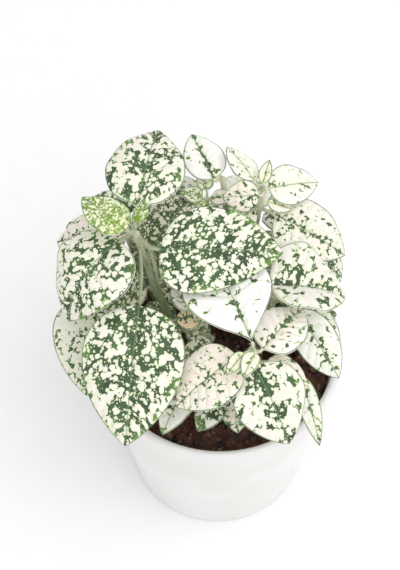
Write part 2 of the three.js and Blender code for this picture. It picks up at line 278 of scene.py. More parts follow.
# %% The marbling group
def make_marbling():
    """The group: from the place on the leaf and the cover to the cream, and the depth in a patch."""
    tree, given, result = new_group(
        "marbling",
        [("Place", "Vector"), ("Cover", "Float")],
        [("Cream", "Float"), ("Depth", "Float")],
    )
    place = given.outputs["Place"]
    cover = given.outputs["Cover"]
    rag = add(tree, "TexNoise", {"Vector": place, "Scale": RAG_SCALE, "Detail": 1.0}).outputs["Color"]
    centred = add(tree, "VectorMath", {0: rag, 1: (0.5, 0.5, 0.5)}, operation="SUBTRACT").outputs[0]
    pushed = add(tree, "VectorMath", {0: centred, "Scale": RAG_REACH}, operation="SCALE").outputs[0]
    ragged = add(tree, "VectorMath", {0: place, 1: pushed}, operation="ADD").outputs[0]
    lobe = add(tree, "TexVoronoi", {"Vector": ragged, "Scale": LOBE_SCALE}, feature="F1").outputs["Distance"]
    lobed = reckon(tree, "MULTIPLY_ADD", lobe, -LOBE_WEIGHT, LOBE_WEIGHT * LOBE_MIDDLE)
    field = reckon(tree, "MULTIPLY_ADD", cloud(tree, ragged, PATCH_SCALE, 1.0), PATCH_WEIGHT, lobed)
    middle = -(PATCH_WEIGHT + COVER_REACH) / 2
    level = reckon(tree, "ADD", field, reckon(tree, "MULTIPLY_ADD", cover, COVER_REACH, middle))
    near = ramp(tree, level, *DOT_BELT)
    share = reckon(tree, "MULTIPLY", near, reckon(tree, "MULTIPLY_ADD", cover, *SOWN_BY_COVER))
    dotted = reckon(tree, "MAXIMUM", dots(tree, place, *SMALL_DOTS), dots(tree, place, *LARGE_DOTS))
    sown = reckon(tree, "MULTIPLY", dotted, reckon(tree, "GREATER_THAN", share, SOWN_FROM))
    cream = reckon(tree, "MAXIMUM", ramp(tree, level, -PATCH_EDGE, PATCH_EDGE), sown)
    outer = reckon(tree, "LESS_THAN", level, CRUMB_BELT)
    kept = reckon(tree, "MULTIPLY", dots(tree, ragged, *GREEN_CRUMBS), outer)
    cream = reckon(tree, "MULTIPLY", cream, reckon(tree, "SUBTRACT", 1.0, kept))
    tree.links.new(cream, result.inputs["Cream"])
    tree.links.new(ramp(tree, level, 0.0, DEPTH_REACH), result.inputs["Depth"])
    return tree


marbling = make_marbling()
print("marbling nodes:", len(marbling.nodes))

# %% [markdown]
# ## The leaf finishes
#
# Each point of a leaf carries what the finish needs, written when the blade is made:
# "lie" is its place along the veins, "veins" holds its distance from the middle vein, the nearest
# side vein and the margin, and "tone" holds the cover, the warmth, the youth and the painted shade of
# the leaf. The painted shade is not a colour of the leaf: it dulls and darkens the green and the cream
# of leaves that lie in the shadow of others. Reading these is better than a picture map, because the
# pattern then follows the veins on every leaf. The middle vein shows as a thin pale line and the
# margin as a thin green one, and near the margin the green is fresher in places. Young leaves are
# yellower, patches may blush pink or peach, and the palest leaves are nearly pure white. The surface
# is satin, with a fine grain of cells.

# %% The upper face of the leaf
DEEP_GREEN = colour("40543a")
FRESH_GREEN = colour("557047")
RIM_GREEN = colour("6f944c")
YOUNG_GREEN = colour("8cab34")
# Painted shade: the dull dark green that a leaf in the shadow of others is turned towards.
PAINTED_SHADE_GREEN = colour("56653f")
EDGE_CREAM = colour("dfe8c4")
CREAM = colour("e9e9df")
BLUSH = colour("f3e6da")
PEACH = colour("fde0b8")
YOUNG_CREAM = colour("e9ecae")
SNOW_WHITE = colour("f7f7f3")
VEIN_LINE = colour("7c9470")
# Painted shade: the dull cream that a leaf in the shadow of others is turned towards.
PAINTED_SHADE_CREAM = colour("d0c8ae")
UNDER_GREEN = colour("8ba48c")
UNDER_CREAM = colour("eeeee2")
LEAF_LIGHT = {"Subsurface Weight": 0.12, "Subsurface Radius": (0.5, 0.8, 0.3), "Subsurface Scale": MM}
PATTERN_DRIFT = 0.09
FRESH_BELT = (0.5, 5.5)
VEIN_WIDTH = (0.12, 0.38)
MARGIN_WIDTH = (0.3, 0.7)
PALE_COVER = (0.85, 1.15)
CELL_SCALE = 2.4


def leaf_attributes(tree):
    """What each point of a leaf carries, as sockets."""
    lie = add(tree, "Attribute", attribute_name="lie").outputs["Vector"]
    veins = add(tree, "Attribute", attribute_name="veins").outputs["Vector"]
    tone = add(tree, "Attribute", attribute_name="tone").outputs
    parts = add(tree, "SeparateColor", {0: tone["Color"]}).outputs
    return lie, add(tree, "SeparateXYZ", {0: veins}).outputs, parts, tone["Alpha"]


def marbled_face(name, shine):
    """What both faces of a leaf share: the material, what its points carry, and the marbling."""
    material, tree, shader = new_material(name, {**LEAF_LIGHT, "Specular IOR Level": shine})
    carried = leaf_attributes(tree)
    mixed = add(tree, "Group", {"Place": carried[0], "Cover": carried[2][0]}, node_tree=marbling)
    return material, tree, shader, carried, mixed.outputs


def make_leaf_upper():
    material, tree, shader, (lie, veins, tone, painted_shade), mixed = marbled_face("leaf_upper", 0.35)
    drift = cloud(tree, lie, PATTERN_DRIFT)
    green = blend_colours(tree, ramp(tree, drift, 0.4, 0.75), DEEP_GREEN, FRESH_GREEN)
    by_margin = ramp(tree, veins[2], *FRESH_BELT, 0.9, 0.0)
    fresher = reckon(tree, "MULTIPLY", by_margin, ramp(tree, drift, 0.42, 0.56))
    green = blend_colours(tree, fresher, green, RIM_GREEN)
    # Painted shade dulls and darkens the green of a leaf in the shadow of others.
    green = blend_colours(tree, painted_shade, green, PAINTED_SHADE_GREEN)
    green = blend_colours(tree, tone[2], green, YOUNG_GREEN)
    warm = reckon(tree, "MULTIPLY", tone[1], ramp(tree, drift, 0.35, 0.6, 0.5, 1.0))
    cream = blend_colours(tree, warm, CREAM, BLUSH)
    cream = blend_colours(tree, ramp(tree, tone[0], *PALE_COVER), cream, SNOW_WHITE)
    cream = blend_colours(tree, ramp(tree, tone[1], 1.0, 2.0), cream, PEACH)
    cream = blend_colours(tree, tone[2], cream, YOUNG_CREAM)
    cream = blend_colours(tree, mixed["Depth"], EDGE_CREAM, cream)
    # Painted shade dulls and darkens the cream of the same leaves.
    cream = blend_colours(tree, painted_shade, cream, PAINTED_SHADE_CREAM)
    blade = blend_colours(tree, mixed["Cream"], green, cream)
    blade = blend_colours(tree, ramp(tree, veins[0], *VEIN_WIDTH, 0.7, 0.0), blade, VEIN_LINE)
    blade = blend_colours(tree, ramp(tree, veins[2], *MARGIN_WIDTH, 0.85, 0.0), blade, green)
    cells = add(tree, "TexVoronoi", {"Vector": lie, "Scale": CELL_SCALE}, feature="SMOOTH_F1")
    grain = cells.outputs["Distance"]
    dress(tree, shader, blade, bump(tree, grain, 0.25, 0.00008), ramp(tree, grain, 0.0, 0.8, 0.44, 0.58))
    return material


leaf_upper = make_leaf_upper()

# %% [markdown]
# The underside is paler and duller: the same marbling shows through from above, under a bloom of
# fine hairs. Its veins stand out as pale ridges, so the finish lightens them too.

# %% The underside of the leaf
RIDGE_WIDTH = (0.3, 0.8)
SIDE_RIDGE_NARROWER = 1.6


def make_leaf_under():
    material, tree, shader, (lie, veins, tone, _), mixed = marbled_face("leaf_under", 0.25)
    green = blend_colours(tree, tone[2], UNDER_GREEN, YOUNG_GREEN)
    blade = blend_colours(tree, mixed["Cream"], green, UNDER_CREAM)
    ribs = reckon(tree, "MULTIPLY", veins[1], SIDE_RIDGE_NARROWER)
    line = ramp(tree, reckon(tree, "MINIMUM", veins[0], ribs), *RIDGE_WIDTH, 0.6, 0.0)
    blade = blend_colours(tree, line, blade, UNDER_CREAM)
    bloom = cloud(tree, lie, 3.0, 3.0)
    dress(tree, shader, blade, bump(tree, bloom, 0.3, 0.0001), ramp(tree, bloom, 0.3, 0.7, 0.6, 0.75))
    return material


leaf_under = make_leaf_under()

# %% [markdown]
# Stems and leaf stalks are green with a greyish bloom and dark lengthwise streaks. Towards the soil
# a painted shade makes them darker, and on pale leaves they are creamier. Their short hairs are
# nearly white.

# %% Stem and hair finishes
STALK_GREEN = colour("9ba784")
STALK_STREAK = colour("5f6f46")
# Painted shade: the dark green that a stem is turned towards near the soil.
STALK_FOOT_SHADE = colour("565f3b")
STALK_CREAM = colour("ebe7c8")
HAIR_WHITE = colour("eef0e4")
STREAK_STRETCH = (1.6, 0.12, 1.0)


def make_stalk():
    material, tree, shader = new_material("stalk", {"Subsurface Weight": 0.1, "Subsurface Scale": MM})
    lie, _, tone, _ = leaf_attributes(tree)
    stretched = add(tree, "Mapping", {"Vector": lie, "Scale": STREAK_STRETCH}).outputs[0]
    streak = cloud(tree, stretched, 1.0, 3.0)
    skin = blend_colours(tree, ramp(tree, streak, 0.42, 0.62), STALK_GREEN, STALK_STREAK)
    # Painted shade: on a stem the second tone value darkens it towards the soil.
    skin = blend_colours(tree, tone[1], skin, STALK_FOOT_SHADE)
    skin = blend_colours(tree, tone[2], skin, STALK_CREAM)
    dress(tree, shader, skin, bump(tree, streak, 0.4, 0.0002), ramp(tree, streak, 0.3, 0.7, 0.5, 0.65))
    return material


def make_hair():
    material, tree, shader = new_material("hair", {"Roughness": 0.6})
    drift = cloud(tree, object_place(tree), 60.0)
    dress(tree, shader, blend_colours(tree, ramp(tree, drift, 0.35, 0.65), HAIR_WHITE, STALK_GREEN))
    return material


stalk_finish = make_stalk()
hair_finish = make_hair()

# %% [markdown]
# ## The leaf table
#
# These are the same numbers as the construction model's, in millimetres. A leaf grows from a place
# along its stem, 0 at the soil and 1 at the top. Its blade runs from its foot to its tip and is as
# wide as width at its widest. roll turns it about its length, fold lifts both halves from the middle
# vein, cup turns the edges down again, arch bows the length, base shapes the foot of the blade, and
# skew slides one half towards the tip. look names how it is coloured.

# %% A leaf as data
@dataclass
class Leaf:
    node: float
    foot: tuple
    tip: tuple
    width: float
    look: str
    roll: float = 0
    fold: float = 0.25
    arch: float = 0.1
    cup: float = 0.35
    base: float = 0.5
    skew: float = 0


# %% [markdown]
# A look gives the cover, how much the cover rises from the middle to the margin (rim) and from foot
# to tip (tip), how green the middle vein's band is (band) and how many millimetres it spreads
# (spread), and how green the side veins are (ribs). Youth and painted shade go from 0 to 1; painted
# shade darkens and dulls a leaf that lies in the shadow of others. Warmth turns the cream pink up to 1
# and peach up to 2. grain above 1 makes the pattern finer.

# %% The looks of the leaves
@dataclass
class Look:
    cover: float
    rim: float = 0.1
    tip: float = 0.0
    band: float = 0.25
    spread: float = 1.6
    ribs: float = 0.08
    warm: float = 0.4
    young: float = 0.0
    painted_shade: float = 0.0
    grain: float = 1.0


# The shaded, dusky and grey looks and the darkest one carry painted shade, for leaves in the shadow of
# others; the dull tone of the grey and dusky ones comes from it.
LOOKS = {
    "marbled": Look(0.63, rim=0.12, tip=0.1, band=0.3, ribs=0.2),
    "fine": Look(0.71, ribs=0.14),
    "banded": Look(0.93, band=0.65, spread=3.2, ribs=0.3),
    "streaked": Look(0.95, tip=0.1, band=0.6, ribs=0.3, warm=0.3),
    "netted": Look(0.66, rim=0.02, band=0.15, ribs=0.3, young=1.0, warm=0.0, grain=2.2),
    "shaded": Look(0.54, band=0.2, painted_shade=0.5, warm=0.1, grain=1.3),
    "deep_shade": Look(0.42, band=0.2, painted_shade=0.9, warm=0.0, grain=1.5),
    "pale": Look(0.78, rim=0.12, tip=0.05, band=0.45, warm=0.3, grain=1.2),
    "white": Look(1.03, tip=0.05, band=0.55, warm=0.1),
    "cream": Look(1.06, rim=0.06, band=0.5, ribs=0.2, warm=0.8, grain=1.2),
    "peach": Look(1.05, band=0.5, ribs=0.45, warm=2.0, grain=1.8),
    "dusky": Look(0.66, band=0.3, warm=1.0, painted_shade=0.3, grain=1.3),
    "grey": Look(0.6, band=0.3, warm=0.0, painted_shade=0.8, grain=1.2),
    "blush": Look(0.92, rim=0.05, band=0.35, ribs=0.15, warm=1.0, grain=1.4),
    "lace": Look(0.74, rim=0.05, band=0.2, warm=0.2, young=0.4, grain=2.2),
    "snow": Look(1.12, tip=-0.3, band=0.5, ribs=0.1, warm=0.0),
    "speckled": Look(0.96, rim=0.04, band=0.4, ribs=0.16, warm=0.5, grain=1.4),
    "ribbed": Look(1.1, band=1.4, spread=0.75, ribs=0.1, warm=0.2),
    "petal": Look(1.08, rim=0.06, ribs=0.12, warm=0.3, young=0.22, grain=1.7),
    "bud": Look(1.1, band=0.3, warm=1.0, young=0.5, grain=1.6),
}

# %% The ten shoots
SHOOTS = {
    "left": (
        [(-17, -2, 100), (-22, 0, 125), (-30, 6, 155), (-37, 12, 184)],
        [
            Leaf(1.0, (-36, 25, 185), (-28, 70, 178), 35, "fine"),
            Leaf(0.9, (-35, -15, 166), (-41, -66, 134), 44.5, "marbled"),
            Leaf(
                0.96, (-26, 4, 181), (27, 8, 172), 39, "marbled", roll=20, arch=0.08, base=0.42, skew=0.18
            ),
            Leaf(
                0.98, (-44, 10.5, 178), (-66.5, -15, 153), 39, "fine", roll=8, fold=0.2, arch=0.22, base=0.42
            ),
            Leaf(1.0, (-41, 10, 187), (-60, 27, 187), 19, "netted", roll=8, fold=0.3, arch=0.06),
            Leaf(1.0, (-37, 14, 187), (-33, 21, 195), 8, "netted", roll=60, fold=0.6, arch=0.06),
            Leaf(0.7, (-30, 20, 160), (-11, 50, 156), 28, "shaded"),
            Leaf(0.55, (-33, 6, 147), (-54, 0, 140), 17, "shaded"),
            Leaf(0.6, (-42, 32, 152), (-75, 37, 136), 36, "blush"),
            Leaf(0.3, (-30, -14, 133), (-34, -38, 124), 20, "shaded"),
            Leaf(0.2, (-17, 12, 126), (-24, 33, 122), 20, "shaded"),
            Leaf(0.2, (-24, 4, 119), (-33, 18, 115), 15, "shaded", arch=0.08),
            Leaf(0.45, (-32, 16, 140), (-37, 38, 139), 18, "deep_shade", arch=0.08),
        ],
    ),
    "front": (
        [(12, -14, 100), (14, -20, 120), (14, -29, 145), (13, -36, 165)],
        [
            Leaf(
                0.97, (13, -33, 166.5), (-4, 11, 167), 40, "snow", fold=0.15, arch=0.03, cup=0.25, base=1.3
            ),
            Leaf(0.92, (14, -40, 158), (29, -66, 136), 33, "banded"),
            Leaf(0.96, (7, -37, 160), (-19, -52, 143), 29, "blush"),
            Leaf(0.98, (18, -32, 159), (36, -9, 153), 24, "cream", fold=0.3),
            Leaf(1.0, (10, -38, 165), (2, -48, 164), 7, "bud", fold=0.5),
            Leaf(1.0, (14, -39, 167), (9, -51, 167), 8, "bud", fold=0.5),
            Leaf(0.72, (19, -35, 150), (38, -42, 142), 18, "blush", fold=0.2, arch=0.08),
            Leaf(0.5, (35, -32, 134), (44, -56, 114), 10, "white", fold=0.2, arch=0.08),
            Leaf(0.3, (6, -27, 130), (-1, -41, 124), 14, "pale"),
        ],
    ),
    "upper_right": (
        [(14, 16, 100), (13, 22, 125), (16, 34, 152), (19, 43, 171)],
        [
            Leaf(1.0, (15, 46, 173), (3, 63, 175), 14, "petal", roll=20, arch=0.06),
            Leaf(0.99, (21.5, 41.5, 173.5), (44, 48.5, 168), 19, "petal", roll=20, fold=0.3, arch=0.08),
            Leaf(1.0, (17, 37, 174), (1, 38, 171), 15, "blush", roll=-20, fold=0.3, arch=0.06),
            Leaf(1.0, (21, 36.5, 170), (32, 35.5, 165.5), 9, "bud", roll=10, fold=0.6, arch=0.06),
            Leaf(1.0, (19, 44, 174), (22, 53, 179), 6, "bud", fold=0.5, arch=0.06),
            Leaf(0.86, (16, 37, 163), (0, 31, 158), 14, "cream", roll=-20, fold=0.3, arch=0.08),
            Leaf(0.84, (25, 35, 162), (56, 21, 150), 29, "speckled", roll=10, fold=0.3, arch=0.08),
            Leaf(0.5, (22, 30, 140), (43, 38, 132), 18, "shaded"),
        ],
    ),
    "right": (
        [(24, 2, 100), (23, 2, 120), (21, -1, 145), (19, -1, 162)],
        [
            Leaf(0.98, (21, -3, 163), (55, -1, 150), 42, "streaked", roll=-13, fold=0.66, arch=0.08),
            Leaf(0.72, (28, -1, 146), (52, -7, 133), 18, "fine", roll=10, fold=0.3, arch=0.08),
            Leaf(0.8, (34, -6, 148), (53, -28, 125), 19, "white", roll=20, base=0.6),
            Leaf(0.45, (42, 5, 129), (54, -11, 115), 14, "white", arch=0.08),
            Leaf(0.45, (31, 12, 135), (53, 22, 123), 20, "pale", arch=0.08),
            Leaf(0.15, (36, 12, 116), (55, 14, 110), 18, "shaded", arch=0.08),
            Leaf(0.55, (23, 4, 141), (22, 24, 134), 15, "streaked", arch=0.08),
        ],
    ),
    "back": (
        [(2, 24, 100), (3, 34, 125), (3, 46, 150), (1, 53, 167)],
        [
            Leaf(1.0, (-3, 50, 169), (-13, 74, 170), 19, "ribbed", arch=0.08),
            Leaf(0.62, (-10, 50, 150), (-32, 66, 142), 22, "fine", arch=0.08),
            Leaf(0.62, (6, 50, 150), (22, 70, 140), 24, "white", arch=0.08),
            Leaf(0.3, (-2, 54, 128), (-4, 80, 112), 28, "pale", arch=0.08),
            Leaf(0.45, (-14, 57, 137), (-24, 77, 126), 18, "pale", arch=0.08),
        ],
    ),
    "rosette": (
        [(-8, 10, 100), (-8, 22, 120), (-7, 36, 145), (-6, 44, 160)],
        [
            Leaf(1.0, (-8, 45, 161), (-18, 48, 162), 9, "lace", fold=0.3, arch=0.08),
            Leaf(1.0, (-4, 45, 161), (7, 44, 162), 9, "cream", fold=0.3, arch=0.08),
            Leaf(1.0, (-6, 43, 162), (-8, 33, 162), 8, "lace", fold=0.3, arch=0.08),
            Leaf(1.0, (-6, 48, 163), (-8, 58, 165), 8, "lace", fold=0.3, arch=0.08),
        ],
    ),
    "middle": (
        [(-6, -16, 100), (-7, -16, 110), (-9, -13, 124), (-11, -10, 136)],
        [
            Leaf(1.0, (-9, -6, 141), (-20, -5, 138), 13, "peach", fold=0.3, arch=0.08),
            Leaf(0.95, (-4, -16, 137), (-16, -24, 128), 16, "dusky", fold=0.3, arch=0.08),
            Leaf(1.0, (-13, -4, 145), (-22, 8, 144), 10, "cream", fold=0.3, arch=0.08),
            Leaf(0.95, (-17, -8, 134), (-27, -3, 133), 9, "grey", fold=0.3, arch=0.08),
            Leaf(0.5, (0, -32, 116), (-10, -46, 108), 14, "pale", fold=0.3, arch=0.08),
            Leaf(0.4, (6, -30, 112), (8, -46, 106), 14, "blush", fold=0.3, arch=0.08),
            Leaf(0.4, (-14, -26, 119), (-26, -49, 111), 16, "white", fold=0.3, arch=0.08),
            Leaf(0.4, (-9, -6, 118), (-12, 12, 115), 12, "shaded", fold=0.3, arch=0.08),
        ],
    ),
    "low_left": (
        [(-34, -4, 100), (-38, 0, 110), (-43, 5, 122), (-46, 8, 132)],
        [
            Leaf(1.0, (-54, 9, 136), (-60, -32, 116), 38, "pale", arch=0.12),
            Leaf(1.0, (-52, 16, 134), (-72, 16, 118), 20, "pale", arch=0.12),
            Leaf(0.6, (-42, -4, 124), (-40, -30, 112), 20, "fine", arch=0.12),
            Leaf(0.4, (-50, 6, 117), (-67, 2, 109), 18, "fine", arch=0.12),
        ],
    ),
    "rear_left": (
        [(-28, 24, 100), (-34, 32, 112), (-40, 40, 124), (-44, 45, 134)],
        [
            Leaf(1.0, (-53, 43, 135), (-72, 58, 120), 26, "fine", arch=0.12),
            Leaf(1.0, (-44, 53, 137), (-50, 78, 122), 28, "marbled", arch=0.12),
            Leaf(1.0, (-35, 44, 135), (-19, 56, 131), 18, "fine", arch=0.12),
            Leaf(0.6, (-46, 34, 124), (-66, 30, 112), 20, "marbled", arch=0.12),
            Leaf(0.5, (-36, 48, 118), (-34, 70, 110), 20, "shaded", arch=0.12),
        ],
    ),
    "rear_right": (
        [(30, 24, 100), (36, 30, 110), (40, 36, 120), (43, 41, 130)],
        [
            Leaf(1.0, (46, 46, 132), (53, 58, 116), 18, "fine", arch=0.12),
            Leaf(1.0, (35, 48, 132), (28, 70, 118), 24, "marbled", arch=0.12),
            Leaf(1.0, (46, 37, 128), (57, 29, 115), 16, "pale", arch=0.12),
            Leaf(0.5, (30, 40, 116), (14, 60, 110), 20, "shaded", arch=0.12),
        ],
    ),
}
print("leaves:", sum(len(leaves) for stem, leaves in SHOOTS.values()))

# %% [markdown]
# ## The blade's own form
#
# A leaf is a round-footed, pointed blade that is folded a little along its middle vein and bowed
# along its length. The form is one formula, the same as in the construction model, so the fine leaf
# lies exactly where the plain one does.

# %% Directions and outline of a leaf
TIP_POWER = 0.85
RIPPLE = 0.05
RIPPLE_RATE = 14


class Blade:
    """A leaf with its own directions: along it, across it, and out of its upper face."""

    def __init__(self, leaf):
        self.leaf = leaf
        self.foot = Vector(leaf.foot)
        span = Vector(leaf.tip) - self.foot
        self.length = span.length
        self.along = span.normalized()
        level = Vector((0, 0, 1)).cross(self.along).normalized()
        lift = self.along.cross(level)
        roll = radians(leaf.roll)
        self.across = level * cos(roll) + lift * sin(roll)
        self.out = lift * cos(roll) - level * sin(roll)
        self.phase = leaf.foot[0] + leaf.foot[1]

    def half(self, station):
        """Half the width at a station: a round foot that narrows to a pointed tip."""
        base = self.leaf.base
        widest = base / (base + TIP_POWER)
        most = widest**base * (1 - widest) ** TIP_POWER
        station = min(max(station, 0), 1)
        return self.leaf.width / 2 * station**base * (1 - station) ** TIP_POWER / most

    def point(self, station, place):
        """A point of the middle face, at a station and a place across it from -1 to 1."""
        leaf = self.leaf
        half = self.half(station)
        bow = leaf.arch * self.length * 4 * station * (1 - station)
        valley = half * (leaf.fold * abs(place) - leaf.cup * place * place)
        wave = RIPPLE * half * place * place * sin(RIPPLE_RATE * station + self.phase + 2 * place)
        spot = self.foot + self.along * (self.length * station + leaf.skew * half * place)
        return spot + self.across * (half * place) + self.out * (bow + valley + wave)


# %% [markdown]
# ## Veins that the mesh follows
#
# Side veins leave the middle vein at a slant and bend towards the tip. A real leaf is dented along
# them and puffed up between them. The mesh could be a plain grid with the dents pushed in, but a
# dent that crosses the grid at a slant comes out as steps. Here the rows of the grid are the vein
# lines themselves, bent towards the tip, with more rows close to each vein, so a few rows give a
# crisp dent.

# %% Rows that follow the side veins
LARGE_LEAF = 24
SIDE_VEINS = {True: 7, False: 5}
ROWS_BETWEEN = {True: 8, False: 6}
HALF_COLUMNS = {True: 24, False: 12}
FIRST_VEIN = 0.55
LAST_VEIN = 0.35
VEIN_SLANT = 0.88
SLANT_POWER = 1.25
SLANT_UNEVEN = 0.08
COLUMN_POWER = 1.35


def vein_origins(large):
    """Where the side veins leave the middle vein, as stations."""
    count = SIDE_VEINS[large]
    return [(k + FIRST_VEIN) / (count + LAST_VEIN) for k in range(count)]


def row_origins(large):
    """Every row's origin on the middle vein: closer together near a vein."""
    stops = [0, *vein_origins(large), 1]
    steps = ROWS_BETWEEN[large]
    rows = [0.0]
    for low, high in zip(stops, stops[1:]):
        rows += [low + (high - low) * (1 - cos(pi * k / steps)) / 2 for k in range(1, steps + 1)]
    return rows


def bent(origin, place, lean):
    """The station that a vein line from this origin has reached at a place across the blade."""
    slant = VEIN_SLANT * (1 + SLANT_UNEVEN * lean * (1 if place > 0 else -1))
    return origin + slant * origin * (1 - origin) * abs(place) ** SLANT_POWER


print("rows on a large leaf:", len(row_origins(True)))

# %% [markdown]
# The relief has four parts: a groove over the middle vein, shallow grooves over the side veins,
# tissue that puffs up between them, and a faint crumple that no two leaves share. The underside is
# the same sheet with its veins standing out as ridges.

# %% Relief of the blade, in millimetres
THICKNESS = 0.42
MIDRIB_GROOVE = 0.5
MIDRIB_REACH = 0.65
SIDE_GROOVE = 0.32
SIDE_REACH = 0.4
PUFF = 0.017
CRUMPLE = 0.6
CRUMPLE_SCALE = 0.13
CRUMPLE_APART = 9
MIDRIB_RIDGE = 0.75
SIDE_RIDGE = 0.22
ACROSS_VEINS = 0.75
FULL_RELIEF = 30


def eased(value, low, high):
    """From 0 at low to 1 at high, with soft ends."""
    share = min(max((value - low) / (high - low), 0), 1)
    return share * share * (3 - 2 * share)


def vein_distance(origin, origins, length):
    """Distance to the nearest side vein, and the place between two veins from 0 to 1."""
    stops = [0, *origins, 1]
    for low, high in zip(stops, stops[1:]):
        if origin <= high:
            break
    between = (origin - low) / (high - low)
    reach = min(origin - low if low > 0 else 1, high - origin if high < 1 else 1)
    return reach * length * ACROSS_VEINS, between


def relief(blade, origin, station, place, origins, seed):
    """How far the upper face stands up and the veins below stand out, and how far the side vein is."""
    half = blade.half(station)
    across = half * abs(place)
    side, between = vein_distance(origin, origins, blade.length)
    fade = 1 - eased(abs(place), 0.75, 1)
    fine = min(1, blade.leaf.width / FULL_RELIEF)
    taper = (1 - station) ** 0.5
    puff = PUFF * blade.leaf.width * sin(pi * between) ** 0.8 * eased(abs(place), 0.02, 0.25) * fade
    groove = MIDRIB_GROOVE * fine * taper * exp(-((across / MIDRIB_REACH) ** 2))
    crease = SIDE_GROOVE * fine * fade * exp(-((side / SIDE_REACH) ** 2))
    spot = Vector((place * half, station * blade.length, CRUMPLE_APART * seed)) * CRUMPLE_SCALE
    crumple = CRUMPLE * fine * noise.noise(spot)
    ridge = MIDRIB_RIDGE * fine * taper * exp(-((across / MIDRIB_REACH) ** 2))
    rib = SIDE_RIDGE * fine * fade * exp(-((side / SIDE_REACH) ** 2))
    return puff - groove - crease + crumple, ridge + rib, side


# %% [markdown]
# ## Making a blade
#
# The blade starts as a flat grid. Each corner is moved to its place on the leaf, and the foot and the
# tip, where a whole row meets in one point, are merged. Then the sheet is extruded, and the second
# sheet is moved down to become the underside. That leaves a closed leaf about 0.4 mm thick.

# %% A blade from a grid
UPPER, UNDER, STALK, HAIR = range(4)
VEIN_PULL = 0.35
PATTERN_APART = 40
LEAN_TURN = 7
BAND_FADE = 0.45
RIB_SPREAD = 0.8
RIB_FADE = 0.6
YOUNG_FADE_ACROSS = 0.4
YOUNG_FADE_ALONG = 0.65
SAME_PLACE = 1e-5
NO_WIDTH = 1e-6


def blade_tone(look, station, place, across, side):
    """Cover, warmth, youth and painted shade at a point: greener by the middle vein, paler at the rim."""
    centre = exp(-across / look.spread) * (1 - BAND_FADE * station)
    cover = look.cover + look.rim * (abs(place) - 0.5) + look.tip * (station - 0.5) - look.band * centre
    cover -= look.ribs * exp(-side / RIB_SPREAD) * (1 - RIB_FADE * abs(place))
    young = look.young * (1 - YOUNG_FADE_ACROSS * abs(place)) * (1 - YOUNG_FADE_ALONG * station)
    return (cover, look.warm, young, look.painted_shade)


def make_blade(bm, layers, sheets, leaf, seed):
    """Adds one leaf blade to a shoot, and its two sheets to the list for the flat map."""
    lie, veins, tone, flat, sheet = layers
    blade = Blade(leaf)
    upper_sheet = len(sheets)
    under_sheet = upper_sheet + 1
    sheets += [(leaf.width, blade.length)] * 2
    look = LOOKS[leaf.look]
    large = blade.length >= LARGE_LEAF
    origins = vein_origins(large)
    rows = row_origins(large)
    columns = 2 * HALF_COLUMNS[large]
    made = bmesh.ops.create_grid(bm, x_segments=columns, y_segments=len(rows) - 1, size=1)
    lean = sin(LEAN_TURN * seed)
    lift = {}
    for vert in made["verts"]:
        share = vert.co.x
        place = math.copysign(abs(share) ** COLUMN_POWER, share)
        origin = rows[round((vert.co.y + 1) / 2 * (len(rows) - 1))]
        station = bent(origin, place, lean)
        half = blade.half(station)
        across = half * abs(place)
        upper, ridge, side = relief(blade, origin, station, place, origins, seed)
        middle = blade.point(station, place)
        vert.co = middle + blade.out * (upper + THICKNESS / 2)
        lift[vert] = ridge
        edge = (1 - abs(place)) * half
        run = VEIN_PULL * origin + (1 - VEIN_PULL) * station
        vert[lie] = Vector((half * place, run * blade.length, PATTERN_APART * seed)) * look.grain
        vert[veins] = (across, side, edge)
        vert[flat] = (half * place + leaf.width / 2, station * blade.length, 0)
        vert[tone] = blade_tone(look, station, place, across, side)
    ends = [v for v in made["verts"] if v[veins].x + v[veins].z < NO_WIDTH]
    bmesh.ops.remove_doubles(bm, verts=ends, dist=SAME_PLACE)
    verts = [v for v in lift if v.is_valid]
    faces = list({face for v in verts for face in v.link_faces})
    for face in faces:
        face.material_index = UPPER
        face.smooth = True
        face[sheet] = upper_sheet
    depth = {tuple(v.co): lift[v] for v in verts}
    sunk = bmesh.ops.extrude_face_region(bm, geom=faces)["geom"]
    for item in sunk:
        if isinstance(item, bmesh.types.BMVert):
            item.co -= blade.out * (THICKNESS + depth[tuple(item.co)])
            item[flat] = (*item[flat].xy, 1)
    below = [item for item in sunk if isinstance(item, bmesh.types.BMFace)]
    for face in below:
        face.material_index = UNDER
        face[sheet] = under_sheet
    walls = {face for item in sunk if isinstance(item, bmesh.types.BMVert) for face in item.link_faces}
    for face in walls - set(below):
        face.material_index = UNDER
        face[sheet] = upper_sheet
        for edge in face.edges:
            edge.smooth = len({f for f in edge.link_faces if f in walls - set(below)}) == 2


# %% [markdown]
# ## Stems, stalks and hairs
#
# A stem is a tapered tube that swells a little at each pair of leaves. A stalk leaves it in an easy
# curve and runs on into the middle vein. Both are made from a grid as well: it is rolled into a tube,
# its seam is merged, and both ends close in a point.

# %% Curves that stems and stalks follow
ROOT_BOTTOM = 89
STEM_RADIUS = 1.8
STEM_TIP_RADIUS = 1.2
STALK_RADIUS = 0.9
STALK_TIP_RADIUS = 0.6
STALK_PULL = 0.45
NODE_SWELL = 0.3
NODE_REACH = 0.03


def through(points, share):
    """A point of the smooth curve through the given points."""
    reach = (len(points) - 1) * share
    i = min(int(reach), len(points) - 2)
    t = reach - i
    here, following = points[i], points[i + 1]
    before = points[i - 1] if i > 0 else here * 2 - following
    after = points[i + 2] if i + 2 < len(points) else following * 2 - here
    start = (following - before) / 2
    end = (after - here) / 2
    bend = (following - here) * 3 - start * 2 - end
    close = (here - following) * 2 + start + end
    return here + start * t + bend * t * t + close * t**3


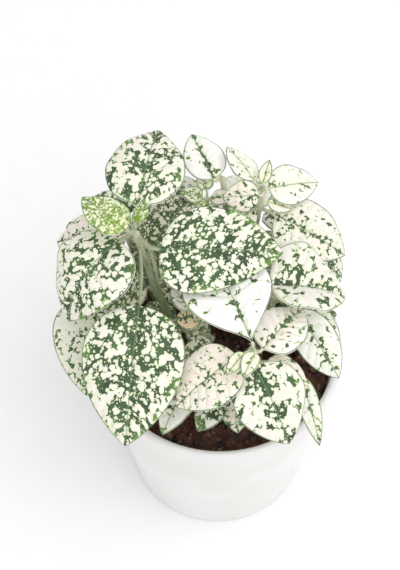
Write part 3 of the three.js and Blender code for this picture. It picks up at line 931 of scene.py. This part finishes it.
def stalk_curve(blade, stem):
    """The stalk's line, from the stem's middle to the foot of the blade, as a function of 0 to 1."""
    start = through(stem, blade.leaf.node)
    slope = 4 * blade.leaf.arch
    inward = (blade.along + blade.out * slope).normalized()
    bend = blade.foot - inward * (STALK_PULL * (blade.foot - start).length)
    return lambda t: start * (1 - t) ** 2 + bend * (2 * t * (1 - t)) + blade.foot * t * t


# %% A tube from a grid
FAR_FROM_VEINS = (9, 9, 9)
TURN_STEP = 0.02


def make_tube(bm, layers, sheets, curve, radius, rings, sides, paint, seed, ribs=0.0):
    """Adds a closed tube round a curve. radius and paint are functions of the share along it."""
    lie, veins, tone, flat, sheet = layers
    girth = 2 * pi * max(radius(k / rings) for k in range(rings + 1))
    made = bmesh.ops.create_grid(bm, x_segments=sides, y_segments=rings, size=1)["verts"]
    frames = []
    side = Vector((1, 0.2, 0)).normalized()
    reach = 0.0
    last = curve(0)
    for k in range(rings + 1):
        share = k / rings
        ahead = (curve(min(share + TURN_STEP, 1)) - curve(max(share - TURN_STEP, 0))).normalized()
        side = (side - ahead * side.dot(ahead)).normalized()
        spot = curve(share)
        reach += (spot - last).length
        last = spot
        closed = 0 if k in (0, rings) else 1
        frames.append((spot, side, ahead.cross(side), radius(share) * closed, reach, share))
    for vert in made:
        turn = (vert.co.x + 1) * pi
        spot, side, up, width, reach, share = frames[round((vert.co.y + 1) / 2 * rings)]
        width *= 1 + ribs * cos(4 * turn)
        vert.co = spot + side * (width * cos(turn)) + up * (width * sin(turn))
        vert[lie] = (3 * cos(turn), reach, PATTERN_APART * seed + 3 * sin(turn))
        vert[veins] = FAR_FROM_VEINS
        vert[flat] = (reach, girth * turn / (2 * pi), 0)
        vert[tone] = paint(share)
    bmesh.ops.remove_doubles(bm, verts=made, dist=SAME_PLACE)
    for vert in made:
        if vert.is_valid:
            for face in vert.link_faces:
                face.smooth = True
                face.material_index = STALK
                face[sheet] = len(sheets)
    sheets.append((reach, girth))
    return frames


# %% [markdown]
# The hairs are short, fine and nearly white. They are tiny three-sided cones on the tubes, set at
# random with a fixed seed. A particle system would be quicker to set up, but it would be lost when
# the plant is exported.

# %% Hairs
HAIR_LENGTH = 1.0
HAIR_RADIUS = 0.05
HAIR_TIP = 0.012
HAIR_LEAN = 0.3
HAIR_SPREAD = (0.6, 1.4)
HAIR_FOOT = 0.95


def make_hairs(bm, frames, count, dice):
    """Hairs that stand out from a tube, in a shape of their own: operators are quick on a small one."""
    for _ in range(count):
        k = dice.uniform(1, len(frames) - 2)
        i = int(k)
        spot, side, up, width = frames[i][:4]
        following = frames[i + 1]
        centre = spot.lerp(following[0], k - i)
        turn = dice.uniform(0, 2 * pi)
        outward = side * cos(turn) + up * sin(turn)
        length = HAIR_LENGTH * dice.uniform(*HAIR_SPREAD)
        lean = Vector([dice.gauss(0, HAIR_LEAN) for _ in range(3)])
        aim = (outward + lean).normalized()
        middle = centre + outward * (width * HAIR_FOOT) + aim * (length / 2)
        place = Matrix.Translation(middle) @ aim.to_track_quat("Z", "Y").to_matrix().to_4x4()
        hair = bmesh.ops.create_cone(
            bm,
            cap_ends=True,
            segments=3,
            radius1=HAIR_RADIUS,
            radius2=HAIR_TIP,
            depth=length,
            matrix=place,
        )
        for vert in hair["verts"]:
            for face in vert.link_faces:
                face.material_index = HAIR


def take_in(bm, other):
    """Adds a small shape to a large one and lets go of it."""
    carrier = bpy.data.meshes.new("carrier")
    other.to_mesh(carrier)
    other.free()
    bm.from_mesh(carrier)
    bpy.data.meshes.remove(carrier)


# %% [markdown]
# ## A flat map of each shoot
#
# When the plant is exported, each piece's finish is painted on one picture. Blender can lay the faces
# out on it by itself, but then every tiny hair gets a margin of its own and little is left for the
# leaves. Here each blade is laid out as it grew, with its upper face and its underside apart, the
# blade's edge is a strip round the upper face, each tube is unrolled, and all hairs share one corner.
# The rectangles are packed on shelves, the tallest first, in the smallest square that holds them.

# %% Packing rectangles on shelves
MAP_GAP = 0.9
EDGE_STRIP = 0.45
HAIR_CELL = 3.0
GROWTH = 1.01


def pack(sheets):
    """The side of the square, and the lower left corner of each rectangle with its gap."""
    order = sorted(range(len(sheets)), key=lambda k: -sheets[k][1])
    side = sum((wide + 2 * MAP_GAP) * (tall + 2 * MAP_GAP) for wide, tall in sheets) ** 0.5
    while True:
        places = {}
        x = y = shelf = 0
        for k in order:
            wide, tall = (size + 2 * MAP_GAP for size in sheets[k])
            if x + wide > side:
                x, y, shelf = 0, y + shelf, 0
            places[k] = (x, y)
            x += wide
            shelf = max(shelf, tall)
        if y + shelf <= side and max(sheets)[0] + 2 * MAP_GAP <= side:
            return side, places
        side *= GROWTH


# %% Laying a shoot out
def on_sheet(face, flat, size):
    """The face's corners on its own sheet, in millimetres."""
    corners = [Vector(loop.vert[flat]) for loop in face.loops]
    wide, tall = size
    if max(c.y for c in corners) - min(c.y for c in corners) > tall / 2:
        for corner in corners:
            corner.y += tall if corner.y < tall / 4 else 0
    depths = {corner.z for corner in corners}
    if len(depths) > 1:
        for corner in corners:
            away = Vector((corner.x * 2 / wide - 1, corner.y * 2 / tall - 1)).normalized()
            corner.xy += away * (EDGE_STRIP * corner.z)
    return corners


def lay_out(bm, sheets):
    """Writes the flat map, and drops the notes that it was made from."""
    side, places = pack(sheets)
    flat = bm.verts.layers.float_vector["flat"]
    sheet = bm.faces.layers.int["sheet"]
    chart = bm.loops.layers.uv.new("OFBake")
    hair_corners = [Vector((x, y)) * HAIR_CELL for x, y in ((0, 0), (1, 0), (1, 1), (0, 1))]
    for face in bm.faces:
        number = face[sheet]
        corners = on_sheet(face, flat, sheets[number]) if number else hair_corners
        left, low = places[number]
        for loop, corner in zip(face.loops, corners):
            loop[chart].uv = ((left + MAP_GAP + corner.x) / side, (low + MAP_GAP + corner.y) / side)
    bm.verts.layers.float_vector.remove(flat)
    bm.faces.layers.int.remove(bm.faces.layers.int["sheet"])
    used = sum(wide * tall for wide, tall in sheets) / side**2
    print("map side, mm:", round(side), "used:", round(used, 2))


# %% [markdown]
# ## Growing the shoots
#
# Each shoot is one piece: its stem, stalks, blades and hairs in one object, as the frame has one
# node for it. The stem starts under the soil, at the bottom of the hole that the frame has for it.

# %% One shoot
STEM_RINGS = 60
STEM_SIDES = 16
STALK_RINGS = 18
STALK_SIDES = 10
RIB = 0.06
HAIRS_ON_STEM = 260
HAIRS_ON_STALK = 80
CROWN_FROM = 0.9
PALE_LEAF = (0.6, 1.0)
# Painted shade on the stem: how dark it is at the soil, and where along the stem it fades out.
PAINTED_FOOT_SHADE = 0.85
PAINTED_FOOT_SHADE_FADE = (0.4, 0.9)


def stem_curve(points):
    """The stem's line from the bottom of its hole to its tip, and the share of it in the hole."""
    x, y, z = points[0]
    root = Vector((x, y, ROOT_BOTTOM))
    depth = z - ROOT_BOTTOM
    sunk = depth / (depth + sum((b - a).length for a, b in zip(points, points[1:])))

    def curve(share):
        if share < sunk:
            return root.lerp(points[0], share / sunk)
        return through(points, (share - sunk) / (1 - sunk))

    return curve, sunk


def make_shoot(name, seed):
    stem_places, leaves = SHOOTS[name]
    points = [Vector(place) for place in stem_places]
    dice = random.Random(seed)
    bm = bmesh.new()
    layers = (
        bm.verts.layers.float_vector.new("lie"),
        bm.verts.layers.float_vector.new("veins"),
        bm.verts.layers.float_color.new("tone"),
        bm.verts.layers.float_vector.new("flat"),
        bm.faces.layers.int.new("sheet"),
    )
    sheets = [(HAIR_CELL, HAIR_CELL)]
    curve, sunk = stem_curve(points)
    nodes = [sunk + leaf.node * (1 - sunk) for leaf in leaves]
    covers = [LOOKS[leaf.look].cover for leaf in leaves if leaf.node > CROWN_FROM]
    crown = 0.3 + 0.7 * eased(sum(covers) / len(covers), 0.6, 0.9)

    def stem_radius(share):
        swell = max(exp(-(((share - node) / NODE_REACH) ** 2)) for node in nodes)
        return (STEM_RADIUS + (STEM_TIP_RADIUS - STEM_RADIUS) * share) * (1 + NODE_SWELL * swell)

    # The stem's tone: painted shade near the soil, and cream near the top under pale leaves.
    def stem_paint(share):
        return (0, PAINTED_FOOT_SHADE * (1 - eased(share, *PAINTED_FOOT_SHADE_FADE)), crown * eased(share, 0.75, 1), 0)

    stem = (curve, stem_radius, STEM_RINGS, STEM_SIDES, stem_paint, seed, RIB)
    frames = make_tube(bm, layers, sheets, *stem)
    tubes = [(frames, HAIRS_ON_STEM)]
    for k, leaf in enumerate(leaves):
        number = seed + 0.1 * k
        blade = Blade(leaf)
        pale = eased(LOOKS[leaf.look].cover, *PALE_LEAF)
        thin = min(1, 0.45 + leaf.width / 40)

        def stalk_paint(share, pale=pale):
            return (0, 0, 0.15 + 0.8 * pale * share**0.5, 0)

        def stalk_radius(share, thin=thin):
            return thin * (STALK_RADIUS + (STALK_TIP_RADIUS - STALK_RADIUS) * share)

        line = stalk_curve(blade, points)
        stalk = (line, stalk_radius, STALK_RINGS, STALK_SIDES, stalk_paint, number)
        tubes.append((make_tube(bm, layers, sheets, *stalk), HAIRS_ON_STALK))
        make_blade(bm, layers, sheets, leaf, number)
    bmesh.ops.recalc_face_normals(bm, faces=bm.faces)
    hairs = bmesh.new()
    for frames, count in tubes:
        make_hairs(hairs, frames, count, dice)
    take_in(bm, hairs)
    lay_out(bm, sheets)
    loose = [edge for edge in bm.edges if len(edge.link_faces) != 2]
    print(name, "leaves:", len(leaves), "open edges:", len(loose))
    materials = [leaf_upper, leaf_under, stalk_finish, hair_finish]
    piece = finish_piece(bm, f"{name}_shoot_grown", materials, f"shoot_{name}")


for number, shoot_name in enumerate(SHOOTS):
    make_shoot(shoot_name, number + 1)

# %% [markdown]
# ## The soil
#
# Potting soil is dark, reddish brown and crumbly: coarse peat with bits of bark. Its surface starts
# as the frame's own mounds, spun from a profile in many rings, and noise roughens it. Loose crumbs
# of several sizes lie on it, each a low ball that noise has dented, with some flat chips of bark. All
# but the largest crumbs are few-sided, because there are hundreds.

# %% Soil finish
SOIL_DARK = colour("24150f")
SOIL_RED = colour("52301f")
SOIL_PALE = colour("94796a")


def make_soil_finish():
    material, tree, shader = new_material("potting_soil")
    place = object_place(tree)
    broad = cloud(tree, place, 180.0, 4.0)
    fine = cloud(tree, place, 900.0, 3.0)
    bits = add(tree, "TexVoronoi", {"Vector": place, "Scale": 480.0}, feature="F1").outputs["Color"]
    draw = add(tree, "SeparateColor", {0: bits}).outputs
    earth = blend_colours(tree, ramp(tree, broad, 0.38, 0.62), SOIL_DARK, SOIL_RED)
    earth = blend_colours(tree, ramp(tree, draw[0], 0.55, 0.9, 0.0, 0.6), earth, SOIL_RED)
    bark = ramp(tree, draw[1], 0.8, 1.0, 0.0, 0.7)
    grit = ramp(tree, fine, 0.62, 0.74, 0.0, 0.6)
    earth = blend_colours(tree, reckon(tree, "MAXIMUM", bark, grit), earth, SOIL_PALE)
    dress(tree, shader, earth, bump(tree, fine, 0.8, 0.0006), ramp(tree, broad, 0.3, 0.7, 0.8, 0.95))
    return material


soil_finish = make_soil_finish()

# %% Soil surface and crumbs
POT_HEIGHT = 105
RIM_RADIUS = 57.5
FOOT_RADIUS = 43
FOOT_BEVEL = 1.5
WALL = 4
POT_FLOOR = 6
CLEAR = 0.3
SOIL_LEVEL = 97
SOIL_EDGE_DROP = 1.5
SOIL_LUMP = 1.2
SOIL_RINGS = 46
SOIL_STEPS = 180
CRUMBS = 1300
CRUMB_SIZES = [0.6, 0.8, 1.0, 1.3, 1.7, 2.3]
CRUMB_BATCH = 100
LARGE_CRUMB = 1.5
CRUMB_DENT = 0.7
CRUMB_LIFT = 0.3
CRUMB_MARGIN = 2
CHIPS = 70
CHIP_LIFT = 0.7
CHIP_LEAN = 0.25
CHIP_MARGIN = 5
SEAM = 1e-4


def inner_radius(height):
    """Inside radius of the pot at a height."""
    lean = (RIM_RADIUS - FOOT_RADIUS) / (POT_HEIGHT - WALL / 2 - FOOT_BEVEL)
    return FOOT_RADIUS + lean * (height - FOOT_BEVEL) - WALL


def soil_height(x, y):
    """The uneven surface: the frame's mounds, roughened with clods."""
    broad = sin(0.31 * x + 0.17 * y) * cos(0.27 * y)
    small = sin(0.5 * y - 0.4 * x)
    mounds = SOIL_LUMP * (0.6 * broad + 0.4 * small)
    clods = noise.noise(Vector((x, y, 3)) * 0.45) * 1.1 + noise.noise(Vector((x, y, 9)) * 1.1) * 0.6
    return SOIL_LEVEL + mounds + clods


def spin_round(outline, steps):
    """A closed shape spun from its outline, which is given as radius and height."""
    bm = bmesh.new()
    verts = [bm.verts.new((radius, 0, height)) for radius, height in outline]
    edges = [bm.edges.new(pair) for pair in zip(verts, verts[1:])]
    bmesh.ops.spin(
        bm,
        geom=verts + edges,
        cent=(0, 0, 0),
        axis=(0, 0, 1),
        angle=2 * pi,
        steps=steps,
        use_merge=True,
    )
    bmesh.ops.remove_doubles(bm, verts=bm.verts, dist=SEAM)
    bmesh.ops.recalc_face_normals(bm, faces=bm.faces)
    return bm


def scattered(dice, reach):
    """A random place within a radius."""
    radius = reach * dice.random() ** 0.5
    turn = dice.uniform(0, 2 * pi)
    return radius * cos(turn), radius * sin(turn)


def make_soil():
    bottom = POT_FLOOR + CLEAR
    edge = SOIL_LEVEL - SOIL_EDGE_DROP
    outer = inner_radius(edge) - 2 * CLEAR
    outline = [(0, bottom), (inner_radius(bottom) - 2 * CLEAR, bottom), (outer, edge)]
    outline += [(outer * (1 - k / SOIL_RINGS), SOIL_LEVEL) for k in range(1, SOIL_RINGS + 1)]
    bm = spin_round(outline, SOIL_STEPS)
    for vert in bm.verts:
        if vert.co.z > edge + CLEAR:
            vert.co.z = soil_height(vert.co.x, vert.co.y)
    dice = random.Random(5)
    crumbs = bmesh.new()
    for k in range(CRUMBS):
        if k % CRUMB_BATCH == 0:
            take_in(bm, crumbs)
            crumbs = bmesh.new()
        x, y = scattered(dice, outer - CRUMB_MARGIN)
        size = dice.choice(CRUMB_SIZES)
        spot = Vector((x, y, soil_height(x, y) + size * CRUMB_LIFT))
        squash = Matrix.Diagonal([dice.uniform(0.7, 1.3), dice.uniform(0.7, 1.3), dice.uniform(0.5, 0.9), 1])
        spun = Matrix.Rotation(dice.uniform(0, pi), 4, Vector((dice.gauss(0, 1), dice.gauss(0, 1), 1)))
        place = Matrix.Translation(spot) @ spun @ squash
        finer = 2 if size > LARGE_CRUMB else 1
        crumb = bmesh.ops.create_icosphere(crumbs, subdivisions=finer, radius=size, matrix=place)
        for vert in crumb["verts"]:
            vert.co += (vert.co - spot) * CRUMB_DENT * noise.noise(vert.co * 1.3)
    for _ in range(CHIPS):
        x, y = scattered(dice, outer - CHIP_MARGIN)
        spot = Vector((x, y, soil_height(x, y) + CHIP_LIFT))
        squash = Matrix.Diagonal([dice.uniform(2.5, 5.0), dice.uniform(0.8, 1.6), dice.uniform(0.4, 0.8), 1])
        lean = Matrix.Rotation(dice.gauss(0, CHIP_LEAN), 4, "Y")
        lean = lean @ Matrix.Rotation(dice.gauss(0, CHIP_LEAN), 4, "X")
        spun = Matrix.Rotation(dice.uniform(0, pi), 4, "Z")
        place = Matrix.Translation(spot) @ spun @ lean @ squash
        bmesh.ops.create_cube(crumbs, size=1, matrix=place)
    take_in(bm, crumbs)
    piece = finish_piece(bm, "crumbly_soil", [soil_finish], "soil")


make_soil()

# %% [markdown]
# ## The pot
#
# The pot is slip-cast white ceramic under a clear glaze: a plain leaning wall, a rounded rim and a
# flat base. It is spun from one outline with the rim and the foot as arcs. The glaze is smooth and
# glossy, but it lies a little unevenly, so its reflections waver.

# %% Glaze finish
GLAZE_WHITE = colour("e8e7e6")
GLAZE_THIN = colour("e2e0dd")


def make_glaze():
    material, tree, shader = new_material("white_glaze", {"Coat Weight": 0.4, "Coat Roughness": 0.08})
    place = object_place(tree)
    drift = cloud(tree, place, 25.0)
    specks = cloud(tree, place, 420.0, 3.0)
    skin = blend_colours(tree, ramp(tree, drift, 0.35, 0.7), GLAZE_WHITE, GLAZE_THIN)
    waver = bump(tree, reckon(tree, "MULTIPLY_ADD", specks, 0.06, drift), 0.12, 0.001)
    dress(tree, shader, skin, waver, ramp(tree, specks, 0.3, 0.7, 0.16, 0.26))
    return material


glaze = make_glaze()

# %% Pot
POT_STEPS = 128
RIM_STEPS = 10
BEVEL_STEPS = 5
FLAT = 0.99


def make_pot():
    foot = FOOT_RADIUS - FOOT_BEVEL
    rim = RIM_RADIUS - WALL / 2
    crown = POT_HEIGHT - WALL / 2
    outline = [(0, 0)]
    for k in range(BEVEL_STEPS + 1):
        turn = pi / 2 * k / BEVEL_STEPS
        outline.append((foot + FOOT_BEVEL * sin(turn), FOOT_BEVEL * (1 - cos(turn))))
    for k in range(RIM_STEPS + 1):
        turn = pi * k / RIM_STEPS
        outline.append((rim + WALL / 2 * cos(turn), crown + WALL / 2 * sin(turn)))
    outline += [(inner_radius(POT_FLOOR), POT_FLOOR), (0, POT_FLOOR)]
    bm = spin_round(outline, POT_STEPS)
    for face in bm.faces:
        face.smooth = abs(face.normal.z) < FLAT
    piece = finish_piece(bm, "glazed_pot", [glaze], "pot")


make_pot()

# %% [markdown]
# ## Floor finish
#
# The floor is plain white paper: nearly white, matt, with the faintest grain.

# %% Floor finish
def make_paper():
    material, tree, shader = new_material("white_paper", {"Roughness": 0.9})
    grain = cloud(tree, object_place(tree), 60.0)
    dress(tree, shader, blend_colours(tree, grain, colour("f6f6f6"), colour("fafafa")))
    return material


floor.data.materials.append(make_paper())
